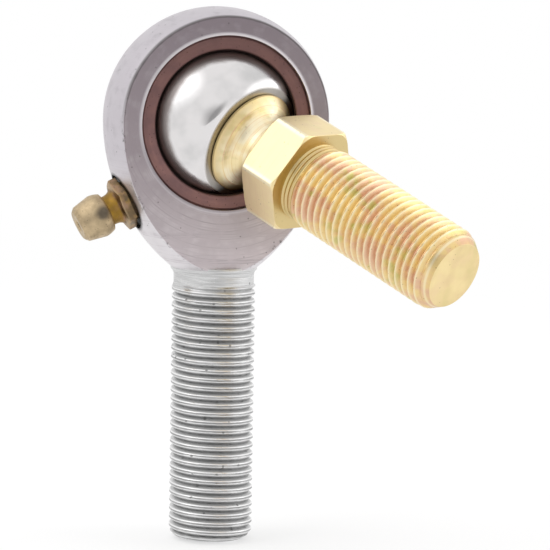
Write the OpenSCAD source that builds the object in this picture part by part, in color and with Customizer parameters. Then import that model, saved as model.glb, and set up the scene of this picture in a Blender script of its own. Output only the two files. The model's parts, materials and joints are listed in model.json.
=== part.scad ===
// Male rod end bearing with a ball stud and a grease nipple, in millimetres.
// +Z runs up the shank to the eye, the front of the eye faces -Y, and the
// origin is the centre of the shank's free end.

/* [Eye] */
// Outside diameter of the eye
eye_d = 33.3; // [31:0.1:38]
// Width across the two flat faces of the eye
eye_w = 11.7; // [10.5:0.1:13]
// Radius of the curve that runs from the eye down to the shank
throat_curve_r = 28.2; // [24:0.1:34]
// Height of the ball's centre above the end of the shank
centre_h = 62.5; // [50:0.1:90]

/* [Shank] */
// Major diameter of the shank's thread
shank_d = 12.5; // [10:0.1:14]
// Radius of the rounded end of the shank
shank_round = 2; // [0.5:0.1:3]
// Step from the thread out to the collar under the eye
collar_step = 0.15; // [0.1:0.05:0.6]
// Step from the thread in to the plain neck under the collar
shank_neck_step = 0.3; // [0.2:0.05:0.8]
// Length of the plain neck between the thread and the collar
shank_neck_len = 2.5; // [2:0.1:6]
// Radius of the fillet under the collar
shank_fillet = 1.2; // [0.8:0.1:2]

/* [Race] */
// Outside diameter of the race, which fills the bore of the eye
race_d = 25.6; // [25:0.1:27]
// Wall of the race where it is thinnest, around the middle of the ball
race_wall = 1.05; // [0.8:0.05:1.5]
// Depth of the race's faces below the faces of the eye
race_recess = 0.3; // [0.1:0.05:0.8]
// Width of the raised lip around the eye's bore
bore_lip_w = 0.6; // [0.4:0.05:0.8]
// Height of that lip above the faces of the eye
bore_lip_h = 0.15; // [0.1:0.05:0.3]
// Chamfer on the mouth of the race
race_chamfer = 0.35; // [0.1:0.05:0.6]
// Width of the grease groove around the race
groove_w = 3; // [2:0.1:4]
// Depth of the grease groove around the race
groove_depth = 0.5; // [0.3:0.05:0.6]

/* [Ball] */
// Width of the ball across its two flats
ball_w = 14.6; // [13.5:0.1:15.5]
// Width of the bevel between the ball and its flats
ball_bevel = 0.55; // [0.2:0.05:0.8]
// Diameter of the hole through the ball
ball_bore_d = 9.4; // [8:0.1:10]
// Depth of the countersink behind the ball
countersink = 1.5; // [1:0.1:2]

/* [Stud] */
// Thickness of the flange's rim
flange_h = 0.55; // [0.4:0.05:0.8]
// Distance that the flange's rim stays inside the ball's sphere
flange_inset = 0.65; // [0.4:0.05:0.8]
// Height of the slope from the flange's rim to the neck
flange_slope_h = 0.75; // [0.5:0.05:1]
// Diameter at which the flange's slope meets the neck
neck_edge_d = 13; // [12:0.1:14]
// Diameter of the neck at its narrowest
neck_d = 9.5; // [8.6:0.1:9.8]
// Radius of the groove that forms the neck
neck_curve_r = 2.85; // [2.7:0.05:3.4]
// Width of the hexagon across its flats
hex_af = 15; // [14.5:0.1:16]
// Length of the hexagon
hex_h = 6.5; // [5:0.1:8]
// Width of the land between the hexagon's flats and its corner chamfers
hex_land = 0.5; // [0.1:0.05:0.8]
// Major diameter of the stud's thread
stud_d = 12.5; // [11.5:0.1:13]
// Length of the stud from the hexagon to its end
stud_len = 29.15; // [20:0.05:45]
// Depth of the chamfer at the end of the stud
stud_chamfer = 1.3; // [0.5:0.1:2]
// Length of the chamfer at the end of the stud
stud_chamfer_len = 2; // [0.5:0.1:3]
// Width of the relief between the hexagon and the thread
relief_w = 2.3; // [2.3:0.1:4]
// Depth of the relief below the thread
relief_depth = 0.25; // [0.2:0.05:0.9]

/* [Pose] */
// Direction in which the stud leans, in degrees up from the right
lean_heading = -38; // [-180:1:180]
// Angle left between the stud and its furthest lean
lean_left = 0.4; // [0:0.05:30]
// Turn of the stud about its own axis
stud_turn = -7; // [-30:1:30]

/* [Grease nipple] */
// Angle of the nipple below the eye's centre line
nipple_angle = 25.5; // [15:0.5:35]
// Depth of the flat seat cut into the rim
seat_depth = 0.9; // [0.7:0.05:1.3]
// Diameter of the flat seat cut into the rim
seat_d = 8.7; // [8.5:0.1:10.5]
// Wall left between the nipple's hole and the eye's bore
seat_wall = 0.5; // [0.3:0.05:1]
// Height of the collar under the nipple's hexagon
nipple_collar_h = 0.5; // [0.3:0.05:0.8]
// Major diameter of the nipple's thread
nipple_thread_d = 6; // [5:0.1:6.4]
// Width of the nipple's hexagon across its flats
nipple_hex_af = 7; // [6.6:0.1:8]
// Height of the nipple's hexagon at its corners
nipple_hex_h = 1; // [0.8:0.1:2.5]
// Slope of the cone above the nipple's hexagon
nipple_cone_slope = 45; // [20:1:50]
// Diameter of the neck below the nipple's head
nipple_neck_d = 4.5; // [4.2:0.1:5]
// Gap between the cone and the head
nipple_neck_h = 0.45; // [0.3:0.05:1]
// Largest diameter of the nipple's head
nipple_head_d = 6.5; // [6:0.1:7]
// Length of the nipple's head
nipple_head_h = 4.7; // [4.4:0.1:6]
// Diameter of the flat tip of the nipple
nipple_tip_d = 4.4; // [3.6:0.1:4.8]
// Diameter of the hole in the nipple's tip
nipple_hole_d = 1.6; // [1.2:0.1:1.8]
// Diameter of the drilling that leads grease to the race
grease_way_d = 2; // [1.5:0.1:2.4]
// Diameter of the check ball
valve_d = 2.1; // [2:0.1:2.4]
// Diameter of the check spring's wire
spring_wire_d = 0.3; // [0.24:0.02:0.36]
// Turns of the check spring
spring_turns = 7; // [5:1:9]

/* [Fits] */
// Radial clearance of the race in the eye
race_fit = 0.02; // [0.01:0.01:0.05]
// Radial clearance between the ball and the race
ball_fit = 0.05; // [0.03:0.01:0.1]
// Radial clearance of the stud in the ball
stud_fit = 0.03; // [0.02:0.01:0.08]
// Gap between the stud's flange and the ball
flange_gap = 0.1; // [0.05:0.01:0.2]
// Gap that remains where the stud leans furthest
lean_gap = 0.2; // [0.2:0.05:0.6]
// Clearance of the nipple's thread in its hole
nipple_fit = 0.02; // [0.01:0.01:0.05]
// Clearance around the check ball and its spring
valve_fit = 0.06; // [0.04:0.01:0.1]

/* [Hidden] */
$fn = 96;

// Overshoot of the tools that cut through a face
cut = 1;
// Overlap that joins two shapes of one piece
lap = 0.3;

// Eye and shank
eye_r = eye_d / 2;
shank_r = shank_d / 2;
collar_r = shank_r + collar_step;
shank_neck_r = shank_r - shank_neck_step;
throat_x = throat_curve_r - eye_r;
collar_drop = sqrt(pow(throat_curve_r, 2) - pow(throat_x + collar_r, 2));
collar_z = centre_h - collar_drop;
thread_top = collar_z - shank_neck_len;
fillet_side = shank_neck_r + shank_fillet - collar_r;
fillet_z = collar_z - lap - sqrt(pow(shank_fillet, 2) - pow(fillet_side, 2));

// Race and ball
race_r = race_d / 2;
bore_r = race_r + race_fit;
race_w = eye_w - 2 * race_recess;
cup_r = race_r - race_wall;
ball_r = cup_r - ball_fit;
ball_d = 2 * ball_r;
mouth_r = sqrt(pow(cup_r, 2) - pow(race_w / 2, 2)) + race_chamfer;
flat_r = sqrt(pow(ball_r, 2) - pow(ball_w / 2, 2)) - ball_bevel;
ball_bore_r = ball_bore_d / 2;

// Stud, measured along its axis from the ball's centre
stud_r = stud_d / 2;
spigot_r = ball_bore_r - stud_fit;
tail_s = -ball_w / 2;
spigot_s = tail_s + countersink;
flange_s = ball_w / 2 + flange_gap;
flange_top = flange_s + flange_h;
flange_r = sqrt(pow(ball_r - flange_inset, 2) - pow(flange_top, 2));
neck_r = neck_d / 2;
groove_r = neck_r + neck_curve_r;
groove_edge_r = min(neck_edge_d / 2, flange_r, groove_r);
neck_half = sqrt(pow(neck_curve_r, 2) - pow(groove_r - groove_edge_r, 2));
slope_top = flange_top + flange_slope_h;
neck_s = slope_top + neck_half;
hex_s = neck_s + neck_half;
hex_r = hex_af / sqrt(3);
hex_face_r = hex_af / 2 + hex_land;
hex_slope = 30;
hex_drop = (hex_r - hex_face_r) * tan(hex_slope);
shoulder_s = hex_s + hex_h;
stud_end = shoulder_s + stud_len;

// Furthest lean, where the neck nears the race or the hexagon nears the eye
mouth_reach = norm([mouth_r, race_w / 2]);
mouth_angle = atan2(mouth_r, race_w / 2);
groove_reach = norm([groove_r, neck_s]);
groove_angle = atan2(groove_r, neck_s);
neck_room = neck_curve_r - lean_gap;
neck_swing = acos((pow(mouth_reach, 2) + pow(groove_reach, 2) - pow(neck_room, 2))
                  / (2 * mouth_reach * groove_reach));
neck_lean = mouth_angle - groove_angle + neck_swing;
corner_reach = norm([hex_r, hex_s + hex_drop]);
corner_angle = atan2(hex_r, hex_s + hex_drop);
hex_lean = acos((eye_w / 2 + lean_gap) / corner_reach) - corner_angle;
max_lean = min(neck_lean, hex_lean);
lean_angle = max_lean - lean_left;
lean_axis = [-sin(lean_heading), 0, cos(lean_heading)];

// Grease nipple, measured along its axis from the rim
nipple_thread_r = nipple_thread_d / 2;
nipple_side = throat_x * sin(nipple_angle);
nipple_foot = throat_x * cos(nipple_angle);
hole_reach = sqrt(pow(bore_r + seat_wall, 2) - pow(nipple_side - nipple_thread_r, 2));
hole_end = nipple_foot + hole_reach - throat_curve_r;
way_end = nipple_foot - throat_curve_r + sqrt(pow(ball_r, 2) - pow(nipple_side, 2));
stem_tip_gap = 0.2;
stem_end = hole_end + stem_tip_gap;
nipple_hex_z = nipple_collar_h - seat_depth;
nipple_hex_r = nipple_hex_af / sqrt(3);
nipple_cone_z = nipple_hex_z + nipple_hex_h;
nipple_neck_r = nipple_neck_d / 2;
nipple_neck_z = nipple_cone_z + (nipple_hex_r - nipple_neck_r) * tan(nipple_cone_slope);
head_z = nipple_neck_z + nipple_neck_h;
head_r = nipple_head_d / 2;
head_end = head_z + nipple_head_h;
head_round_z = head_z + head_r / 2;
head_nose_r = (head_r + nipple_tip_d / 2) / 2;
head_nose_h = head_nose_r - nipple_tip_d / 2;

// Check valve inside the nipple
valve_r = valve_d / 2;
hole_r = nipple_hole_d / 2;
chamber_r = valve_r + 2 * valve_fit;
valve_seat_z = head_end - valve_r / 2;
valve_z = valve_seat_z + hole_r - (valve_r + valve_fit) * sqrt(2);
lip_h = 0.4;
wire_r = spring_wire_d / 2;
coil_r = chamber_r - wire_r - valve_fit;
spring_low = stem_end + lip_h + wire_r + valve_fit;
spring_high = valve_z - sqrt(pow(valve_r + wire_r + valve_fit, 2) - pow(coil_r, 2));
spring_steps = 8;
wire_sides = 6;
spring_rings = spring_turns * spring_steps;

function coil_point(ring) = [coil_r * cos(360 * ring / spring_steps),
                             coil_r * sin(360 * ring / spring_steps),
                             spring_low + (spring_high - spring_low) * ring / spring_rings];

function wire_point(ring, side) =
    let (turn = 360 * ring / spring_steps, round = 360 * side / wire_sides)
    coil_point(ring) + wire_r * [cos(turn) * cos(round), sin(turn) * cos(round), sin(round)];

// Least gap between turns, measured between the rings of neighbouring turns
spring_gap = min([for (ring = [0 : spring_rings - spring_steps])
                  norm(coil_point(ring + spring_steps) - coil_point(ring)) - spring_wire_d]);
echo(spring_gap = spring_gap, max_lean = max_lean, lean_angle = lean_angle);

// Places children at the ball's centre with their Z axis out of the front face
module facing_front() {
    translate([0, 0, centre_h]) rotate([90, 0, 0]) children();
}

// Places children at the ball's centre with their Z axis along the leaning stud
module leaning() {
    translate([0, 0, centre_h]) rotate(lean_angle, lean_axis) rotate([90, 0, 0])
        rotate(stud_turn) children();
}

// Places children on the rim with their Z axis out along the nipple
module on_rim() {
    translate([throat_x, 0, centre_h]) rotate([0, -90 - nipple_angle, 0])
        translate([0, 0, throat_curve_r]) children();
}

// Tool that rounds the lower outer corner of a half outline
module lower_round(centre, radius) {
    difference() {
        translate(centre - [0, radius + cut]) square(radius + cut);
        translate(centre) circle(radius);
    }
}

// Half outline of the shank: rounded end, thread, neck, fillet and collar
module shank_outline() {
    difference() {
        polygon([[0, 0], [shank_r, 0], [shank_r, thread_top - shank_neck_step],
                 [shank_neck_r, thread_top], [shank_neck_r, collar_z], [0, collar_z]]);
        lower_round([shank_r - shank_round, shank_round], shank_round);
    }
    difference() {
        translate([0, fillet_z]) square([collar_r, collar_z + lap - fillet_z]);
        translate([shank_neck_r + shank_fillet, fillet_z]) circle(shank_fillet);
    }
}

// Half outline of the eye about its centre: a round crown over a long curve to the collar
module eye_outline() {
    intersection() {
        circle(eye_r);
        square(eye_r);
    }
    mirror([0, 1]) intersection() {
        translate([-throat_x, 0]) circle(throat_curve_r);
        square([eye_r, collar_drop + lap / 2]);
    }
}

// Lip that stands around the bore on each face, falling away outwards
module bore_lips() {
    crest_w = bore_lip_w / 5;
    run = (bore_lip_w - crest_w) / bore_lip_h;
    for (side = [0, 1]) mirror([0, 0, side]) translate([0, 0, eye_w / 2])
        rotate_extrude() polygon([[bore_r - lap, -lap], [bore_r + bore_lip_w + lap * run, -lap],
                                  [bore_r + crest_w, bore_lip_h], [bore_r - lap, bore_lip_h]]);
}

// Flat seat, threaded hole and drilling for the grease nipple
module nipple_seat() {
    translate([0, 0, -seat_depth]) cylinder(d = seat_d, h = seat_depth + seat_d);
    translate([0, 0, hole_end]) cylinder(r = nipple_thread_r + nipple_fit, h = -hole_end);
    grease_way();
}

module grease_way() {
    translate([0, 0, way_end]) cylinder(d = grease_way_d, h = -way_end);
}

module rod_end_body() {
    color("silver") difference() {
        union() {
            rotate_extrude() shank_outline();
            translate([0, 0, centre_h]) intersection() {
                rotate_extrude() eye_outline();
                cube([eye_d + cut, eye_w, 2 * collar_drop + cut], center = true);
            }
            facing_front() bore_lips();
        }
        facing_front() cylinder(r = bore_r, h = eye_w + 2 * cut, center = true);
        on_rim() nipple_seat();
    }
}

// Ring with a spherical seat for the ball and a grease groove around it
module race_insert() {
    color("rosybrown") difference() {
        facing_front() difference() {
            cylinder(r = race_r, h = race_w, center = true);
            sphere(cup_r);
            for (side = [0, 1]) mirror([0, 0, side])
                translate([0, 0, race_w / 2 - race_chamfer])
                    cylinder(r1 = mouth_r - race_chamfer, r2 = mouth_r + cut, h = race_chamfer + cut);
            difference() {
                cylinder(r = race_r + cut, h = groove_w, center = true);
                cylinder(r = race_r - groove_depth, h = groove_w + cut, center = true);
            }
        }
        on_rim() grease_way();
    }
}

// Ball with bevelled flats, a hole for the stud and a countersink behind
module ball() {
    bevel_slope = 35;
    bevel_r = ball_r - flat_r;
    bevel_drop = bevel_r * tan(bevel_slope);
    color("whitesmoke") leaning() difference() {
        intersection() {
            sphere(ball_r);
            rotate_extrude() polygon([[0, -ball_w / 2], [flat_r, -ball_w / 2],
                                      [ball_r, bevel_drop - ball_w / 2],
                                      [ball_r, ball_w / 2 - bevel_drop],
                                      [flat_r, ball_w / 2], [0, ball_w / 2]]);
        }
        cylinder(r = ball_bore_r, h = ball_d, center = true);
        translate([0, 0, tail_s - cut])
            cylinder(r1 = ball_bore_r + countersink + cut, r2 = ball_bore_r, h = countersink + cut);
    }
}

// Half outline of the stud's turned shapes, from the riveted tail to the end
module stud_outline() {
    hub_r = hex_af / 2 - hex_land;
    thread_s = shoulder_s + relief_w;
    relief_r = stud_r - relief_depth;
    polygon([[0, tail_s], [spigot_r + countersink, tail_s], [spigot_r, spigot_s],
             [spigot_r, flange_s + lap], [0, flange_s + lap]]);
    difference() {
        polygon([[0, flange_s], [flange_r, flange_s], [flange_r, flange_top],
                 [groove_edge_r, slope_top], [groove_edge_r, neck_s],
                 [hub_r, neck_s], [hub_r, hex_s + lap], [0, hex_s + lap]]);
        translate([groove_r, neck_s]) circle(neck_curve_r);
    }
    polygon([[0, shoulder_s - lap], [relief_r, shoulder_s - lap], [relief_r, thread_s - relief_depth],
             [stud_r, thread_s], [stud_r, stud_end - stud_chamfer_len],
             [stud_r - stud_chamfer, stud_end], [0, stud_end]]);
}

// Hexagon whose corners are turned off at both ends
module stud_hexagon() {
    past_r = hex_r + lap;
    past_drop = hex_drop + lap * tan(hex_slope);
    intersection() {
        translate([0, 0, hex_s]) cylinder(r = hex_r, h = hex_h, $fn = 6);
        rotate_extrude() polygon([[0, hex_s], [hex_face_r, hex_s], [past_r, hex_s + past_drop],
                                  [past_r, shoulder_s - past_drop], [hex_face_r, shoulder_s],
                                  [0, shoulder_s]]);
    }
}

module stud() {
    color("khaki") leaning() {
        rotate_extrude() stud_outline();
        stud_hexagon();
    }
}

// Half outline of the nipple's hexagon, cone, neck and head
module nipple_outline() {
    past_r = nipple_hex_r + lap;
    past_z = nipple_cone_z - lap * tan(nipple_cone_slope);
    polygon([[0, nipple_hex_z], [past_r, nipple_hex_z], [past_r, past_z],
             [nipple_neck_r, nipple_neck_z], [nipple_neck_r, head_round_z], [0, head_round_z]]);
    difference() {
        polygon([[0, head_z], [head_r, head_z], [head_r, head_round_z],
                 [head_nose_r, head_end - head_nose_h], [nipple_tip_d / 2, head_end], [0, head_end]]);
        lower_round([0, head_round_z], head_r);
    }
}

// Chamber for the check ball and spring, narrowed at the tip and at the stem
module valve_chamber() {
    low = stem_end + lip_h;
    high = valve_seat_z - chamber_r + hole_r;
    rotate_extrude() polygon([[0, stem_end - cut], [hole_r, stem_end - cut], [hole_r, low],
                              [chamber_r, low], [chamber_r, high], [hole_r, valve_seat_z],
                              [hole_r, head_end + cut], [0, head_end + cut]]);
}

module grease_nipple() {
    color("darkkhaki") on_rim() difference() {
        union() {
            translate([0, 0, stem_end])
                cylinder(r = nipple_thread_r, h = nipple_hex_z - stem_end + lap);
            intersection() {
                translate([0, 0, nipple_hex_z - cut])
                    cylinder(r = nipple_hex_r, h = head_end - nipple_hex_z + 2 * cut, $fn = 6);
                rotate_extrude() nipple_outline();
            }
        }
        valve_chamber();
    }
}

module nipple_check_ball() {
    color("gray") on_rim() translate([0, 0, valve_z]) sphere(valve_r);
}

// Spring wound as one wire, closed by a fan of faces at each end
module nipple_spring() {
    last = spring_rings * wire_sides;
    color("gray") on_rim() polyhedron(
        points = [for (ring = [0 : spring_rings], side = [0 : wire_sides - 1]) wire_point(ring, side)],
        faces = concat(
            [for (ring = [0 : spring_rings - 1], side = [0 : wire_sides - 1])
                let (a = ring * wire_sides + side, b = ring * wire_sides + (side + 1) % wire_sides)
                [a, b, a + wire_sides]],
            [for (ring = [0 : spring_rings - 1], side = [0 : wire_sides - 1])
                let (a = ring * wire_sides + side, b = ring * wire_sides + (side + 1) % wire_sides)
                [b, b + wire_sides, a + wire_sides]],
            [for (side = [1 : wire_sides - 2]) [0, side + 1, side]],
            [for (side = [1 : wire_sides - 2]) [last, last + side, last + side + 1]]));
}

rod_end_body();
race_insert();
ball();
stud();
grease_nipple();
nipple_check_ball();
nipple_spring();
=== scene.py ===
"""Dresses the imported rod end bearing: turned and threaded pieces, plated finishes, studio and camera."""

import json
import logging
import math
from collections.abc import Callable, Iterable, Sequence
from dataclasses import dataclass, field
from enum import Enum
from typing import ClassVar

import bmesh
import bpy
from mathutils import Matrix, Vector, noise

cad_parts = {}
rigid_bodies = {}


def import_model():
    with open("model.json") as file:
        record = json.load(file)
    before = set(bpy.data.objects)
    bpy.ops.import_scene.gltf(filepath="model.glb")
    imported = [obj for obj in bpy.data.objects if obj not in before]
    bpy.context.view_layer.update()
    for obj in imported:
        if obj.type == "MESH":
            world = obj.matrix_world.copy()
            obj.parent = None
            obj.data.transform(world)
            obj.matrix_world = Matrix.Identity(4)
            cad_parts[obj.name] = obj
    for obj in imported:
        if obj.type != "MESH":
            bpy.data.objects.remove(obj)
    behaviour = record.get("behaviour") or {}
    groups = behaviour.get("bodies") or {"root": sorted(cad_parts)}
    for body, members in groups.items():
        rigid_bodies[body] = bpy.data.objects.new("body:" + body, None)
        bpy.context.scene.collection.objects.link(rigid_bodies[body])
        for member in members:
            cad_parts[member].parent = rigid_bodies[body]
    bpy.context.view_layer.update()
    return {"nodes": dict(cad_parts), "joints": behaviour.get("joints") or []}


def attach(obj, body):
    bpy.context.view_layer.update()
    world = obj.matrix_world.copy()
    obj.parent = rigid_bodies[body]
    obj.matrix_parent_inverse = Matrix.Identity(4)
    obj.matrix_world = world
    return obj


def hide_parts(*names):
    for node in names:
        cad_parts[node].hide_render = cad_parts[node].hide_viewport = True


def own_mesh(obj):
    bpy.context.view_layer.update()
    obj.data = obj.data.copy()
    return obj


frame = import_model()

log = logging.getLogger("rod_end")

MM = 0.001
TURN = 2 * math.pi
Point = tuple[float, float]
Triple = tuple[float, float, float]
Row = Point | Callable[[float], Point]
ORIGIN: Triple = (0.0, 0.0, 0.0)
WHITE: Triple = (1.0, 1.0, 1.0)


class Body(Enum):
    """Rigid bodies of the frame that the new pieces ride on."""

    HOUSING = "housing"
    BALL = "ball"
    STUD = "stud"


class Hand(float, Enum):
    """Hand of a thread, as the sign of its helix."""

    RIGHT = 1.0
    LEFT = -1.0


def operator(operation: str, swapped: bool = False) -> Callable[..., "Value"]:
    """Makes an operator of Value from a Math node.

    Args:
        operation: The node's operation.
        swapped: Whether the other operand comes first.

    Returns:
        The method that adds the node.
    """
    def apply(value: "Value", other: object = 0.0) -> "Value":
        """Adds the node for a value and the other operand."""
        pair = (other, value) if swapped else (value, other)
        return value.nodes.math(operation, *pair)
    return apply


class Value:
    """An output of a node. Arithmetic on it adds Math nodes, and a | b is the larger of the two."""

    __add__, __radd__ = operator("ADD"), operator("ADD", True)
    __sub__, __rsub__ = operator("SUBTRACT"), operator("SUBTRACT", True)
    __mul__, __rmul__ = operator("MULTIPLY"), operator("MULTIPLY", True)
    __truediv__, __rtruediv__ = operator("DIVIDE"), operator("DIVIDE", True)
    __gt__, __lt__ = operator("GREATER_THAN"), operator("LESS_THAN")
    __pow__, __or__, __abs__ = operator("POWER"), operator("MAXIMUM"), operator("ABSOLUTE")

    def __init__(self, nodes: "Nodes", socket: bpy.types.NodeSocket) -> None:
        """Keeps the output and the helper of its tree."""
        self.nodes = nodes
        self.socket = socket

    def ramp(self, low: object, high: object, start: object = 0.0, end: object = 1.0,
             smooth: bool = True) -> "Value":
        """Maps the value from one range to another, held at both ends.

        Args:
            low: Value that gives start.
            high: Value that gives end.
            start: Result at low.
            end: Result at high.
            smooth: Whether the change eases in and out.

        Returns:
            The mapped value.
        """
        inputs = {"Value": self, "From Min": low, "From Max": high, "To Min": start, "To Max": end}
        ease = "SMOOTHSTEP" if smooth else "LINEAR"
        return self.nodes.value("ShaderNodeMapRange", inputs, interpolation_type=ease, clamp=True)

    def band(self, rise: Point, fall: Point) -> "Value":
        """Returns 1 between a rise and a fall, each given as the range that it takes, and 0 outside."""
        return self.ramp(*rise) * self.ramp(*fall, 1.0, 0.0)

    def hypot(self, other: "Value") -> "Value":
        """Returns the length of a vector with this and another value as its parts."""
        return self.nodes.math("SQRT", self * self + other * other)

    def split(self) -> list["Value"]:
        """Returns the three parts of a vector or colour."""
        return list(self.nodes.named("ShaderNodeSeparateXYZ", {0: self}).values())

    def speckle(self, scale: float, detail: float = 3.0, rough: float = 0.55) -> "Value":
        """Adds a Noise Texture at this place.

        Args:
            scale: Spots per unit of the place.
            detail: Octaves of finer noise.
            rough: Strength of the finer octaves.

        Returns:
            The noise, about 0.5 on average.
        """
        inputs = {"Vector": self, "Scale": scale, "Detail": detail, "Roughness": rough}
        return self.nodes.value("ShaderNodeTexNoise", inputs)


class Nodes:
    """Adds and links the nodes of one shader or geometry tree."""

    def __init__(self, tree: bpy.types.NodeTree) -> None:
        """Keeps the tree that nodes are added to."""
        self.tree = tree

    def add(self, kind: str, inputs: dict | None = None, **settings: object) -> bpy.types.Node:
        """Adds a node.

        Args:
            kind: The node's type name.
            inputs: Plain values or node values by input name or index.
            settings: Properties of the node.

        Returns:
            The new node.
        """
        node = self.tree.nodes.new(kind)
        for key, value in settings.items():
            setattr(node, key, value)
        for key, value in (inputs or {}).items():
            self.feed(node.inputs[key], value)
        return node

    def value(self, kind: str, inputs: dict | None = None, output: int | str = 0,
              **settings: object) -> Value:
        """Adds a node, as add does, and returns one of its outputs."""
        return Value(self, self.add(kind, inputs, **settings).outputs[output])

    def named(self, kind: str, inputs: dict | None = None, **settings: object) -> dict[str, Value]:
        """Adds a node, as add does, and returns its outputs by name."""
        return {out.name: Value(self, out) for out in self.add(kind, inputs, **settings).outputs}

    def feed(self, socket: bpy.types.NodeSocket, value: object) -> None:
        """Links a node value to an input, or sets the input to a plain value."""
        if isinstance(value, Value):
            self.tree.links.new(value.socket, socket)
        elif isinstance(value, tuple) and socket.type == "RGBA":
            socket.default_value = (*value, 1.0)
        else:
            socket.default_value = value

    def math(self, operation: str, *values: object) -> Value:
        """Adds a Math node with the values as its inputs, in order."""
        return self.value("ShaderNodeMath", dict(enumerate(values)), operation=operation)

    def vector(self, operation: str, *values: object, output: int | str = 0) -> Value:
        """Adds a Vector Math node with the values as its inputs, in order."""
        return self.value("ShaderNodeVectorMath", dict(enumerate(values)), output, operation=operation)

    def mix(self, factor: object, first: object, second: object) -> Value:
        """Mixes two colours.

        Args:
            factor: Share of the second colour, held between 0 and 1.
            first: Colour at factor 0.
            second: Colour at factor 1.

        Returns:
            The mixed colour.
        """
        inputs = {0: factor, 6: first, 7: second}
        return self.value("ShaderNodeMix", inputs, 2, data_type="RGBA", clamp_factor=True)

    def coat(self, base: object, *layers: tuple[object, object]) -> Value:
        """Lays colours over a base one after another, each given with its share."""
        for share, colour in layers:
            base = self.mix(share, base, colour)
        return base


def emptied(owner: bpy.types.Material | bpy.types.World) -> Nodes:
    """Gives a material or world an empty node tree and returns the tree's helper."""
    owner.use_nodes = True
    owner.node_tree.nodes.clear()
    return Nodes(owner.node_tree)


class ShaderGroup:
    """A shader node group with named sockets, built once and placed in several materials."""

    def __init__(self, name: str, inputs: dict[str, float | Triple], outputs: Sequence[str]) -> None:
        """Makes the group's tree and sockets.

        Args:
            name: Name of the group.
            inputs: Default value of each input; a tuple makes a vector input.
            outputs: Names of the outputs, which are plain numbers.
        """
        self.tree = bpy.data.node_groups.new(name, "ShaderNodeTree")
        face = self.tree.interface
        for key, value in inputs.items():
            kind = "NodeSocketVector" if isinstance(value, tuple) else "NodeSocketFloat"
            face.new_socket(name=key, in_out="INPUT", socket_type=kind).default_value = value
        for key in outputs:
            face.new_socket(name=key, in_out="OUTPUT", socket_type="NodeSocketFloat")
        self.nodes = Nodes(self.tree)
        self.given = self.nodes.named("NodeGroupInput")

    def give(self, **results: Value) -> "ShaderGroup":
        """Ends the group with its results by output name, and returns it."""
        self.nodes.add("NodeGroupOutput", results)
        return self

    def place(self, nodes: Nodes, **values: object) -> dict[str, Value]:
        """Adds the group to a material.

        Args:
            nodes: Helper of the material's tree.
            values: Plain values or node values by input name.

        Returns:
            The outputs by name.
        """
        return nodes.named("ShaderNodeGroup", values, node_tree=self.tree)


def turning_group() -> ShaderGroup:
    """Builds the group that draws the fine rings that a cutting tool leaves.

    Returns:
        A group whose Height changes with Distance, the place across the rings, and whose Lines are 1 in the
        deepest of them.
    """
    group = ShaderGroup("turning_marks", {"Distance": 0.0, "Spacing": 0.2, "Place": ORIGIN, "Breakup": 0.5},
                        ("Height", "Lines"))
    place, spacing = group.given["Place"], group.given["Spacing"]
    drift = (place.speckle(0.35, 2.0) - 0.5) * spacing
    at = group.nodes.value("ShaderNodeCombineXYZ", {0: (group.given["Distance"] + drift) / spacing})
    rings = at.speckle(1.0, 2.0, 0.6) * 0.65 + at.speckle(0.23, 1.0) * 0.35
    faded = 1.0 - place.speckle(0.5, 2.0).ramp(0.3, 0.7) * group.given["Breakup"]
    return group.give(Height=rings * faded, Lines=rings.ramp(0.4, 0.5, 1.0, 0.0) * faded)


def pits_group() -> ShaderGroup:
    """Builds the group that scatters small dark pits and faint blotches.

    Returns:
        A group with Pits, 1 inside a pit, and Blotch, a soft cloud from 0 to 1.
    """
    group = ShaderGroup("pits_and_blotches", {"Place": ORIGIN, "Size": 0.3, "Amount": 0.1},
                        ("Pits", "Blotch"))
    place, cells_per_size = group.given["Place"], 0.35
    inputs = {"Vector": place, "Scale": cells_per_size / group.given["Size"], "Randomness": 1.0}
    cells = group.nodes.named("ShaderNodeTexVoronoi", inputs, feature="F1")
    chosen = cells["Color"].split()[0] < group.given["Amount"]
    hole = cells["Distance"].ramp(0.16, 0.3, 1.0, 0.0)
    return group.give(Pits=hole * chosen, Blotch=place.speckle(0.22, 4.0).ramp(0.3, 0.7))


def thread_group() -> ShaderGroup:
    """Builds the group that finds the place on a rolled thread.

    Returns:
        A group whose Along runs from -0.5 in one root over 0 on the crest to 0.5 in the next root, and whose
        Streaks are fine marks drawn out along the thread.
    """
    group = ShaderGroup("thread_place", {"Place": ORIGIN, "Pitch": 1.27, "Hand": 1.0}, ("Along", "Streaks"))
    n, stretch, streaks_per_turn = group.nodes, 0.22, 9.0
    x, y, z = group.given["Place"].split()
    turns = z / group.given["Pitch"] - n.math("ARCTAN2", y, x) / TURN * group.given["Hand"]
    drawn = n.value("ShaderNodeCombineXYZ", {0: x * stretch, 1: y * stretch, 2: turns * streaks_per_turn})
    return group.give(Along=n.math("FRACT", turns + 0.5) - 0.5,
                      Streaks=drawn.speckle(1.0, 3.0, 0.65).ramp(0.3, 0.7))


@dataclass
class Groups:
    """The node groups that the finishes share."""

    turning: ShaderGroup = field(default_factory=turning_group)
    pits: ShaderGroup = field(default_factory=pits_group)
    thread: ShaderGroup = field(default_factory=thread_group)


def scaled(colour: Triple, share: float) -> Triple:
    """Returns a darker or brighter colour."""
    return tuple(share * part for part in colour)


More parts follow.
